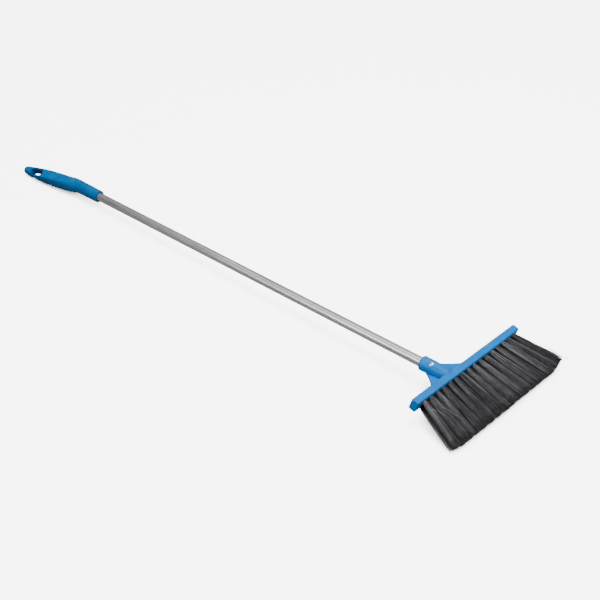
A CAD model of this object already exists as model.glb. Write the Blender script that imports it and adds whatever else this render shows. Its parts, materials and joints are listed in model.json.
"""Looks for the long-handled brush: materials for the CAD parts and real bristles for the tufts."""

import json
import math

import bpy
import numpy as np
from mathutils import Matrix, Vector


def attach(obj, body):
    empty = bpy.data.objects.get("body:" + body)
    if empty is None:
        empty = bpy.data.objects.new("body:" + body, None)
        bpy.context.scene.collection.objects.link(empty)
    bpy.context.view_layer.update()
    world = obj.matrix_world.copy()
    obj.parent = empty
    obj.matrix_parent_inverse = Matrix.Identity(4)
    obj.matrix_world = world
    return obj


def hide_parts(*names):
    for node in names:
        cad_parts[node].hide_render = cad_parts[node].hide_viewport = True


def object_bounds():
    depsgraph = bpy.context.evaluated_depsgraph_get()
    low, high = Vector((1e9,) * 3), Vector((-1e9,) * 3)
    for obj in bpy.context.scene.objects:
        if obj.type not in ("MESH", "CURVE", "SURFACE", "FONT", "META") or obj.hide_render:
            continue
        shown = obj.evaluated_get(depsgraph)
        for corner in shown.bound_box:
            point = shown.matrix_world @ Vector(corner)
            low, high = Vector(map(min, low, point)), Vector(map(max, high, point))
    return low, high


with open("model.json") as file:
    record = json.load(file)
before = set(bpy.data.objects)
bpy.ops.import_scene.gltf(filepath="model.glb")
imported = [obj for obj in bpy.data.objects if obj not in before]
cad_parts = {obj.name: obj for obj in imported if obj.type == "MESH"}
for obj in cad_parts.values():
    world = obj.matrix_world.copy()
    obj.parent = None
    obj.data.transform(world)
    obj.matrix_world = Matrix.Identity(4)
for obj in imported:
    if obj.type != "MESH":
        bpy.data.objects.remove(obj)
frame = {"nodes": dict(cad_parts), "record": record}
NODES = frame["nodes"]
CAD_LOW, CAD_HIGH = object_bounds()
MM = 0.001
ACROSS = np.array([0.0, 1.0, 0.0])  # along the block and its rows of tufts
UP = np.array([0.0, 0.0, 1.0])

# ---- camera, at the photograph's viewpoint (degrees and metres) --------------

VIEW_AZIMUTH = 42.10
VIEW_ELEVATION = 34.51
VIEW_ROLL = 1.08
VIEW_TARGET = Vector((0.1097, 0.0497, -0.0534))
VIEW_DISTANCE = 2.5063
LENS_MM = 71.0
CLIP_END = 20


def make_camera():
    a, e = math.radians(VIEW_AZIMUTH), math.radians(VIEW_ELEVATION)
    back = Vector((math.sin(a) * math.cos(e), -math.cos(a) * math.cos(e), math.sin(e)))
    data = bpy.data.cameras.new("camera")
    data.lens = LENS_MM
    data.clip_end = CLIP_END
    cam = bpy.data.objects.new("camera", data)
    bpy.context.scene.collection.objects.link(cam)
    turn = (-back).to_track_quat("-Z", "Y").to_matrix().to_4x4()
    roll = Matrix.Rotation(math.radians(VIEW_ROLL), 4, "Z")
    cam.matrix_world = Matrix.Translation(VIEW_TARGET + back * VIEW_DISTANCE) @ turn @ roll
    bpy.context.scene.camera = cam


# ---- node helpers ------------------------------------------------------------


class Tree:
    """A node tree with short calls for what the materials and the world need."""

    def __init__(self, tree):
        self.tree = tree

    def new(self, kind, **values):
        """A new node, with each value in its property of that name, or else in its socket."""
        node = self.tree.nodes.new(kind)
        for key, value in values.items():
            if hasattr(node, key):
                setattr(node, key, value)
            else:
                node.inputs[key].default_value = value
        return node

    def link(self, out, into):
        self.tree.links.new(out, into)

    def ramp(self, fac, *stops):
        """Colour ramp over (place, colour) stops; a single float stands for a grey."""
        node = self.new("ShaderNodeValToRGB")
        self.link(fac, node.inputs["Fac"])
        elements = node.color_ramp.elements
        while len(elements) < len(stops):
            elements.new(0.5)
        for element, (place, colour) in zip(elements, stops):
            if isinstance(colour, float):
                colour = (colour,) * 3
            element.position = place
            element.color = (*colour, 1)
        return node.outputs["Color"]


class Material(Tree):
    """A new material, whose patterns run in the object's own coordinates."""

    def __init__(self, name):
        self.mat = bpy.data.materials.new(name)
        self.mat.use_nodes = True
        super().__init__(self.mat.node_tree)
        self.coord = self.new("ShaderNodeTexCoord").outputs["Object"]

    def noise(self, scale, detail=4.0, rough=0.5, stretch=None):
        """Noise; stretch multiplies the coordinates, so that grain can run one way."""
        vector = self.coord
        if stretch:
            mapping = self.new("ShaderNodeMapping", Scale=stretch)
            self.link(vector, mapping.inputs["Vector"])
            vector = mapping.outputs["Vector"]
        node = self.new("ShaderNodeTexNoise", Scale=scale, Detail=detail, Roughness=rough)
        self.link(vector, node.inputs["Vector"])
        return node.outputs["Fac"]

    def attribute(self, name):
        return self.new("ShaderNodeAttribute", attribute_name=name).outputs["Fac"]

    def mix(self, fac, a, b):
        """From a to b, each a colour or a socket, by a number or a socket."""
        node = self.new("ShaderNodeMix", data_type="RGBA")
        if isinstance(fac, float):
            node.inputs[0].default_value = fac
        else:
            self.link(fac, node.inputs[0])
        sockets = [s for s in node.inputs if s.type == "RGBA"]
        for socket, value in zip(sockets, (a, b)):
            if isinstance(value, tuple):
                socket.default_value = (*value, 1)
            else:
                self.link(value, socket)
        return next(s for s in node.outputs if s.type == "RGBA")

    def product(self, a, b):
        node = self.new("ShaderNodeMath", operation="MULTIPLY")
        for socket, value in zip(node.inputs, (a, b)):
            if isinstance(value, float):
                socket.default_value = value
            else:
                self.link(value, socket)
        return node.outputs[0]

    def bump(self, height, strength, distance, normal=None):
        node = self.new("ShaderNodeBump", Strength=strength, Distance=distance)
        self.link(height, node.inputs["Height"])
        if normal is not None:
            self.link(normal, node.inputs["Normal"])
        return node.outputs["Normal"]

    def set(self, **values):
        """Shader sockets by name, with _ for a space, each linked or set. Returns the material."""
        sockets = self.tree.nodes["Principled BSDF"].inputs
        for key, value in values.items():
            socket = sockets[key.replace("_", " ")]
            if isinstance(value, bpy.types.NodeSocket):
                self.link(value, socket)
            else:
                socket.default_value = value
        return self.mat


# ---- materials ---------------------------------------------------------------

EDGE_RADIUS = 1.2 * MM  # of the moulded edges, in shading only
SUBSURFACE_DEPTH = 1.5 * MM

SCUFF = (0.28, 0.28, 0.29)
ROOT_SHADE = (0.008, 0.008, 0.01)
END_SHADE = (0.012, 0.012, 0.014)
INNER_SHADE = (0.003, 0.003, 0.004)
DUST = (0.16, 0.155, 0.15)


def moulded_plastic(name, deep, colour, pale, rough, grain):
    """Injection-moulded plastic: flow mottling, fine grain, rounded edges, handling marks."""
    m = Material(name)
    flow = m.noise(38, detail=3.0, rough=0.55)
    body = m.ramp(flow, (0.25, deep), (0.52, colour), (0.8, pale))
    specks = m.noise(900, detail=2.0)
    body = m.mix(m.ramp(specks, (0.62, 0.0), (0.74, 0.3)), body, pale)
    wipe = m.noise(60, detail=5.0, rough=0.65, stretch=(1, 6, 1))
    round_edges = m.new("ShaderNodeBevel", samples=4, Radius=EDGE_RADIUS).outputs["Normal"]
    texture = m.noise(grain, detail=3.0, rough=0.6)
    return m.set(
        Base_Color=body,
        Roughness=m.ramp(wipe, (0.3, rough - 0.07), (0.7, rough + 0.1)),
        Normal=m.bump(texture, strength=0.12, distance=0.15 * MM, normal=round_edges),
        Specular_IOR_Level=0.1,
        Subsurface_Weight=0.06,
        Subsurface_Radius=(0.2, 0.5, 1.0),
        Subsurface_Scale=SUBSURFACE_DEPTH,
    )


def drawn_aluminium():
    """Satin tube: fine lines along X from drawing, faint clouds, and a few short scuffs."""
    m = Material("drawn_aluminium")
    lines = m.noise(1, detail=3.0, rough=0.7, stretch=(6, 900, 900))
    clouds = m.noise(2, rough=0.6, stretch=(5, 30, 30))
    scuffs = m.noise(1, detail=5.0, rough=0.75, stretch=(60, 420, 420))
    streaked = m.ramp(lines, (0.3, 0.4), (0.7, 0.62))
    clouded = m.ramp(clouds, (0.3, 0.42), (0.7, 0.6))
    tone = m.mix(0.5, streaked, clouded)
    tone = m.mix(m.ramp(scuffs, (0.66, 0.0), (0.72, 0.5)), tone, SCUFF)
    return m.set(
        Base_Color=tone,
        Metallic=1.0,
        Roughness=m.ramp(lines, (0.3, 0.3), (0.7, 0.46)),
        Normal=m.bump(lines, strength=0.18, distance=0.05 * MM),
        Anisotropic=0.35,
    )


def rivet_metal(name, tone, rough):
    """Small bright fastener with turning marks and dull pits."""
    m = Material(name)
    pits = m.noise(1400, detail=3.0)
    marks = m.noise(420, rough=0.7)
    dull = tuple(0.75 * t for t in tone)
    return m.set(
        Base_Color=m.ramp(marks, (0.3, dull), (0.65, tone)),
        Metallic=1.0,
        Roughness=m.ramp(pits, (0.35, rough), (0.7, rough + 0.2)),
        Normal=m.bump(pits, strength=0.2, distance=0.05 * MM),
    )


def bristle_fibre():
    """Charcoal filaments, each of its own shade: dark at the root and again towards the end,
    dusty at the tip, and darkest in the rows underneath."""
    m = Material("bristle_fibre")
    shade, along, depth = (m.attribute(key) for key in ("shade", "along", "depth"))
    tone = m.ramp(
        shade,
        (0.0, (0.014, 0.014, 0.016)),
        (0.4, (0.042, 0.042, 0.047)),
        (0.75, (0.105, 0.106, 0.115)),
        (1.0, (0.24, 0.24, 0.25)),
    )
    tone = m.mix(m.ramp(along, (0.0, 0.8), (0.15, 0.15), (0.3, 0.0)), tone, ROOT_SHADE)
    tone = m.mix(m.ramp(along, (0.35, 0.0), (0.75, 0.5)), tone, END_SHADE)
    inside = m.product(depth, m.ramp(along, (0.3, 1.0), (0.65, 0.0)))
    tone = m.mix(inside, tone, INNER_SHADE)
    patches = m.ramp(m.noise(120, rough=0.6), (0.45, 0.0), (0.7, 0.3))
    tone = m.mix(m.product(patches, m.ramp(along, (0.4, 0.0), (1.0, 1.0))), tone, DUST)
    return m.set(
        Base_Color=tone,
        Roughness=m.ramp(shade, (0.0, 0.55), (1.0, 0.4)),
        Specular_IOR_Level=0.35,
    )


def clear_fibre():
    """Stray filaments, paler than the rest."""
    m = Material("clear_fibre")
    tone = m.ramp(m.noise(90, detail=3.0), (0.3, (0.2, 0.2, 0.21)), (0.7, (0.4, 0.41, 0.42)))
    return m.set(Base_Color=tone, Roughness=m.ramp(m.noise(300), (0.3, 0.25), (0.7, 0.4)))


def give(node, material):
    """Make this a CAD node's only material."""
    mesh = NODES[node].data
    mesh.materials.clear()
    mesh.materials.append(material)


# ---- bristles ----------------------------------------------------------------

ROWS = ("upper", "middle", "lower")
FILAMENTS = 240  # in each tuft
CLUMPS = 9  # that a tuft's filaments gather into
RINGS = 11  # of points along each filament
SIDES = 3  # of each filament
RING_POWER = 1.25  # rings lie closer together near the root
TUFT_SEED = 100
STRAY_SEED = 77

HOLE_DEPTH = 11 * MM
HOLE_RADIUS = 3.75 * MM
FLOOR_GAP = 0.4 * MM  # filaments bend along the floor at z = 0 and stay this far above it
END_BAND = 0.05 * MM  # depth of the CAD tuft's points that lie on its trimmed end
ROOT_BAND = 2.2 * MM  # and of those round its root, which is oblique to the trimmed plane

FAN_Y, FAN_T = 10 * MM, 5.5 * MM  # reach of a tuft's ends to each side, along and through the rows
FAN_LIMIT = 9.5 * MM  # a tuft's ends stay within this, so that gaps show between tufts
CLUMP_SHARE = 0.6  # of an end's place comes from its clump, and the rest from where it is rooted
CLUMP_SHIFT_Y, CLUMP_SHIFT_T = 0.9 * MM, 2.2 * MM
END_SHIFT_Y, END_SHIFT_T = 0.5 * MM, 0.6 * MM
TIDY_SHARE, UNTIDY = 0.6, 2.6  # the other filaments' ends shift this many times as far
SPREAD_POWER = (0.4, 0.2, 0.2)  # by row: the lower it is, the sooner the tuft opens out
SWAY_Y, SWAY_T = 1.0 * MM, 0.6 * MM
SWAY_OWN = 0.35  # a filament's own sway, against its clump's
SWAY_WAVES = (0.8, 1.8)  # half waves along the free length

TRIM = 0.6 * MM  # filaments stand this far past the CAD tuft, and vary by as much
CLUMP_TRIM = 0.4 * MM
SHORT_SHARE, SHORT_BY = 0.1, 10 * MM
CORNER, CORNER_TRIM = 26 * MM, 4.5 * MM  # the outermost ends of a row are trimmed round

RADIUS_RANGE = (0.24 * MM, 0.34 * MM)
TIP_START, TIP_SIZE = 0.93, 0.5  # the end of a filament thins to this part of its radius
SHADE_RANGE = (0.05, 0.95)  # over a tuft's clumps
SHADE_OWN = 0.2
ROW_SHADE = 0.16  # each row is darker than the one above by this much


def bristle_plane():
    """A point on the trimmed ends and the direction they face, from the record."""
    mount = next(m for m in frame["record"]["mounts"] if m["name"] == "bristle_ends")
    return np.array(mount["pos_m"]), np.array(mount["axis"]) / np.linalg.norm(mount["axis"])


def tuft_line(node, point, out):
    """Where a tuft's hole ends and where its trimmed end lies, from its CAD solid."""
    co = np.array([v.co for v in NODES[node].data.vertices])
    depth = (co - point) @ out
    root = co[depth < depth.min() + ROOT_BAND].mean(axis=0)
    end = co[depth > depth.max() - END_BAND].mean(axis=0)
    return root, end


def filament_mesh(name, paths, radii, shades, depth):
    """Thin tubes, closed at the tip: paths is (filaments, rings, 3), radii (filaments, rings).

    Each point also has its filament's shade, how far along it lies, and whether it is in the
    top row (depth 0) or underneath (1).
    """
    count, rings, _ = paths.shape
    run = np.gradient(paths, axis=1)
    run /= np.linalg.norm(run, axis=2, keepdims=True)
    side = np.cross(run, UP)
    side /= np.linalg.norm(side, axis=2, keepdims=True)
    top = np.cross(side, run)
    angle = 2 * math.pi * np.arange(SIDES) / SIDES
    ring = side[:, :, None] * np.cos(angle)[:, None] + top[:, :, None] * np.sin(angle)[:, None]
    co = paths[:, :, None] + ring * radii[:, :, None, None]

    start = (np.arange(count)[:, None, None] * rings + np.arange(rings - 1)[None, :, None]) * SIDES
    k = np.arange(SIDES)[None, None, :]
    after = (k + 1) % SIDES
    quads = np.stack([start + k, start + after, start + SIDES + after, start + SIDES + k], axis=-1)
    last = (np.arange(count)[:, None] * rings + rings - 1) * SIDES
    caps = last + np.arange(SIDES)[None, :]
    mesh = bpy.data.meshes.new(name)
    mesh.from_pydata(co.reshape(-1, 3).tolist(), [], quads.reshape(-1, 4).tolist() + caps.tolist())
    mesh.shade_smooth()

    for key, values in (
        ("shade", np.repeat(shades, rings * SIDES)),
        ("along", np.tile(np.repeat(np.linspace(0, 1, rings), SIDES), count)),
        ("depth", np.full(count * rings * SIDES, depth)),
    ):
        layer = mesh.attributes.new(key, "FLOAT", "POINT")
        layer.data.foreach_set("value", values.astype(np.float32))
    obj = bpy.data.objects.new(name, mesh)
    bpy.context.scene.collection.objects.link(obj)
    return obj


def tuft_paths(rng, root, end, out, row, side):
    """Filaments that leave a hole as one bundle, spread at once and gather into clumps.

    row is the tuft's row, 0 at the top, and side how far its end lies inside the outermost
    tuft's. Offsets from its axis are _y along the rows and _t through them. The look of every
    filament depends on the order of the random draws.
    """
    n = FILAMENTS
    disc = np.sqrt(rng.random(n)) * HOLE_RADIUS
    turn = rng.random(n) * 2 * math.pi
    root_y, root_t = disc * np.cos(turn), disc * np.sin(turn)

    # where each end lies
    clump = rng.integers(0, CLUMPS, n)
    clump_y = np.linspace(-FAN_Y, FAN_Y, CLUMPS) + rng.normal(0, CLUMP_SHIFT_Y, CLUMPS)
    clump_t = rng.normal(0, CLUMP_SHIFT_T, CLUMPS)
    shift = np.where(rng.random(n) < TIDY_SHARE, 1.0, UNTIDY)
    end_y = CLUMP_SHARE * clump_y[clump] + (1 - CLUMP_SHARE) * root_y / HOLE_RADIUS * FAN_Y
    end_y = np.clip(end_y + rng.normal(0, END_SHIFT_Y, n) * shift, -FAN_LIMIT, FAN_LIMIT)
    end_t = CLUMP_SHARE * clump_t[clump] + (1 - CLUMP_SHARE) * root_t / HOLE_RADIUS * FAN_T
    end_t += rng.normal(0, END_SHIFT_T, n) * shift

    # how far past or short of the trimmed plane it ends
    trim = rng.normal(TRIM, TRIM, n) + rng.normal(0, CLUMP_TRIM, CLUMPS)[clump]
    short = rng.random(n) < SHORT_SHARE
    trim[short] -= rng.random(short.sum()) * SHORT_BY
    nearness = np.clip(1 - (side - end_y * np.sign(root[1])) / CORNER, 0, 1)
    trim -= CORNER_TRIM * nearness**2

    # the way there: straight in the hole, then opening out
    t = np.linspace(0, 1, RINGS)[None, :] ** RING_POWER
    length = (end - root) @ out
    mouth = HOLE_DEPTH / length
    free = np.clip((t - mouth) / (1 - mouth), 0, 1)
    spread = free ** SPREAD_POWER[row]

    def sway(size):
        """A slow wave along each filament, most of it shared by its clump."""
        swing = rng.normal(0, 1, (CLUMPS, 1))[clump] + rng.normal(0, SWAY_OWN, (n, 1))
        return size * swing * np.sin(free * math.pi * rng.uniform(*SWAY_WAVES, (CLUMPS, 1))[clump])

    off_y = root_y[:, None] * (1 - spread) + end_y[:, None] * spread + sway(SWAY_Y)
    off_t = root_t[:, None] * (1 - spread) + end_t[:, None] * spread + sway(SWAY_T)
    reach = t * (length + trim[:, None])
    axis = (end - root) / length
    through = np.cross(out, ACROSS)
    paths = root + axis * reach[:, :, None]
    paths = paths + ACROSS * off_y[:, :, None] + through * off_t[:, :, None]
    paths[:, :, 2] = np.maximum(paths[:, :, 2], FLOOR_GAP)

    radii = rng.uniform(*RADIUS_RANGE, (n, 1)) * np.where(free > TIP_START, TIP_SIZE, 1.0)
    shades = rng.permutation(np.linspace(*SHADE_RANGE, CLUMPS))[clump] + rng.normal(0, SHADE_OWN, n)
    return paths, radii, np.clip(shades - ROW_SHADE * row, 0, 1)


# Pale filaments that have worked loose: the tufts each runs between, how far along each
# it starts and ends, and how far it stands above the top row and to the side, in mm.
STRAYS = (
    ("tuft_upper_01", 0.3, "tuft_upper_02", 0.62, 8, 0),
    ("tuft_upper_02", 0.35, "tuft_upper_03", 0.75, 8, 0),
    ("tuft_upper_16", 0.5, "tuft_upper_16", 1.02, 4, 12),
    ("tuft_upper_16", 0.52, "tuft_upper_16", 1.03, 4, 12.5),
    ("tuft_upper_16", 0.55, "tuft_upper_16", 1.0, 3, 13),
    ("tuft_upper_16", 0.6, "tuft_upper_16", 1.02, 3, 13.5),
)
STRAY_RADIUS = 0.2 * MM
STRAY_ARCH = 0.4  # of its height, which it has only halfway along
STRAY_WAVE = 1.5  # mm to the side
STRAY_HALF_WAVES = 2.5


def make_strays(lines, out):
    t = np.linspace(0, 1, RINGS)[:, None]
    above = np.cross(out, ACROSS)
    rng = np.random.default_rng(STRAY_SEED)
    paths = []
    for first, a, second, b, lift, aside in STRAYS:
        (root_a, end_a), (root_b, end_b) = lines[first], lines[second]
        start, stop = root_a + (end_a - root_a) * a, root_b + (end_b - root_b) * b
        rise = above * lift * MM * (1 - STRAY_ARCH + STRAY_ARCH * np.sin(t * math.pi))
        bow = ACROSS * (aside + STRAY_WAVE * np.sin(t * STRAY_HALF_WAVES * math.pi)) * MM
        paths.append(start + (stop - start) * t + rise + bow)
    paths = np.array(paths)
    radii = np.full(paths.shape[:2], STRAY_RADIUS)
    obj = filament_mesh("stray_filaments", paths, radii, rng.random(len(paths)), 0.0)
    obj.data.materials.append(clear_fibre())
    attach(obj, "root")


def make_bristles(material):
    point, out = bristle_plane()
    tufts = sorted(name for name in NODES if name.startswith("tuft_"))
    lines = {name: tuft_line(name, point, out) for name in tufts}
    make_strays(lines, out)
    outermost = max(abs(end[1]) for _, end in lines.values())
    for index, name in enumerate(tufts):
        rng = np.random.default_rng(TUFT_SEED + index)
        root, end = lines[name]
        row = ROWS.index(name.split("_")[1])
        paths, radii, shades = tuft_paths(rng, root, end, out, row, outermost - abs(end[1]))
        obj = filament_mesh(name.replace("tuft", "bristles"), paths, radii, shades, min(row, 1))
        obj.data.materials.append(material)
        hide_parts(name)
        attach(obj, "root")


# ---- stage -------------------------------------------------------------------

FLOOR_SIZE = 100
FLOOR_DROP = 0.5 * MM  # below the lowest point, so that nothing cuts into it
FLOOR_GLOW = 5.0
FLOOR_ALBEDO = (0.22, 0.22, 0.22)  # what the brush sees of it
CONTACT_REACH = 0.1  # how near the floor has to be to the brush to darken
AIR_STRENGTH = 0.5


def make_floor():
    """Pale paper floor: it glows white to the camera, less where the brush is close over it,
    and is a dimmer paper to the light."""
    mesh = bpy.data.meshes.new("floor")
    h = FLOOR_SIZE / 2
    mesh.from_pydata([(-h, -h, 0), (h, -h, 0), (h, h, 0), (-h, h, 0)], [], [(0, 1, 2, 3)])
    floor = bpy.data.objects.new("floor", mesh)
    bpy.context.scene.collection.objects.link(floor)
    floor.location.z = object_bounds()[0].z - FLOOR_DROP
    m = Material("floor")
    seen = m.new("ShaderNodeLightPath").outputs["Is Camera Ray"]
    open_sky = m.new("ShaderNodeAmbientOcclusion", samples=8, Distance=CONTACT_REACH).outputs["AO"]
    glow = m.product(m.ramp(open_sky, (0.25, 0.0), (0.5, 1.0)), FLOOR_GLOW)
    paper = m.ramp(m.noise(4, detail=3.0), (0.3, 0.93), (0.7, 0.95))
    mesh.materials.append(
        m.set(
            Base_Color=m.mix(seen, FLOOR_ALBEDO, paper),
            Emission_Color=(1, 1, 1, 1),
            Emission_Strength=m.product(seen, glow),
            Roughness=0.9,
            Specular_IOR_Level=0.1,
        )
    )


def make_world():
    """Studio air: dim near the floor and pale overhead, and as bright as the floor to the camera."""
    world = bpy.data.worlds.new("studio")
    world.use_nodes = True
    w = Tree(world.node_tree)
    split = w.new("ShaderNodeSeparateXYZ")
    w.link(w.new("ShaderNodeTexCoord").outputs["Generated"], split.inputs[0])
    sky = w.ramp(split.outputs["Z"], (0.1, (0.3, 0.31, 0.33)), (0.7, (0.97, 0.98, 1.0)))
    air = w.tree.nodes["Background"]
    air.inputs["Strength"].default_value = AIR_STRENGTH
    w.link(sky, air.inputs["Color"])
    backdrop = w.new("ShaderNodeBackground", Color=(1, 1, 1, 1), Strength=FLOOR_GLOW)
    mix = w.new("ShaderNodeMixShader")
    w.link(w.new("ShaderNodeLightPath").outputs["Is Camera Ray"], mix.inputs["Fac"])
    w.link(air.outputs[0], mix.inputs[1])
    w.link(backdrop.outputs[0], mix.inputs[2])
    w.link(mix.outputs[0], w.tree.nodes["World Output"].inputs["Surface"])
    bpy.context.scene.world = world


def area_light(name, place, aim, size, power, spread=180):
    """A square panel with its size in metres, power in watts and spread in degrees."""
    data = bpy.data.lights.new(name, "AREA")
    data.size = size
    data.energy = power
    data.spread = math.radians(spread)
    light = bpy.data.objects.new(name, data)
    bpy.context.scene.collection.objects.link(light)
    light.location = place
    light.rotation_euler = (Vector(aim) - Vector(place)).to_track_quat("-Z", "Y").to_euler()


def make_lights():
    """A key overhead, a side light on the bristles, and two panels that the tube mirrors."""
    centre = (CAD_LOW + CAD_HIGH) / 2
    near_head = (0.5, 0, 0)
    area_light("key", (0.3, 0.4, 3.3), centre, size=1.6, power=150)
    area_light("side", (3.2, -0.6, 1.3), centre, size=1.6, power=35)
    area_light("front", (-0.3, -1.45, 0.85), near_head, size=0.8, power=3, spread=70)
    area_light("ceiling", (-1.0, 0.1, 3.0), centre, size=1.6, power=15)


# ---- build -------------------------------------------------------------------

grip_plastic = moulded_plastic(
    "grip_plastic",
    deep=(0.0, 0.09, 0.255),
    colour=(0.0, 0.11, 0.315),
    pale=(0.0, 0.135, 0.375),
    rough=0.45,
    grain=700,
)
head_plastic = moulded_plastic(
    "head_plastic",
    deep=(0.0, 0.13, 0.4),
    colour=(0.0, 0.15, 0.47),
    pale=(0.0, 0.17, 0.54),
    rough=0.42,
    grain=1100,
)

make_camera()
give("tube", drawn_aluminium())
give("grip", grip_plastic)
give("head", head_plastic)
give("rivet_body", rivet_metal("rivet_bright", tone=(0.86, 0.86, 0.87), rough=0.22))
give("rivet_mandrel", rivet_metal("rivet_pin", tone=(0.2, 0.2, 0.21), rough=0.45))
make_bristles(bristle_fibre())
make_floor()
make_world()
make_lights()
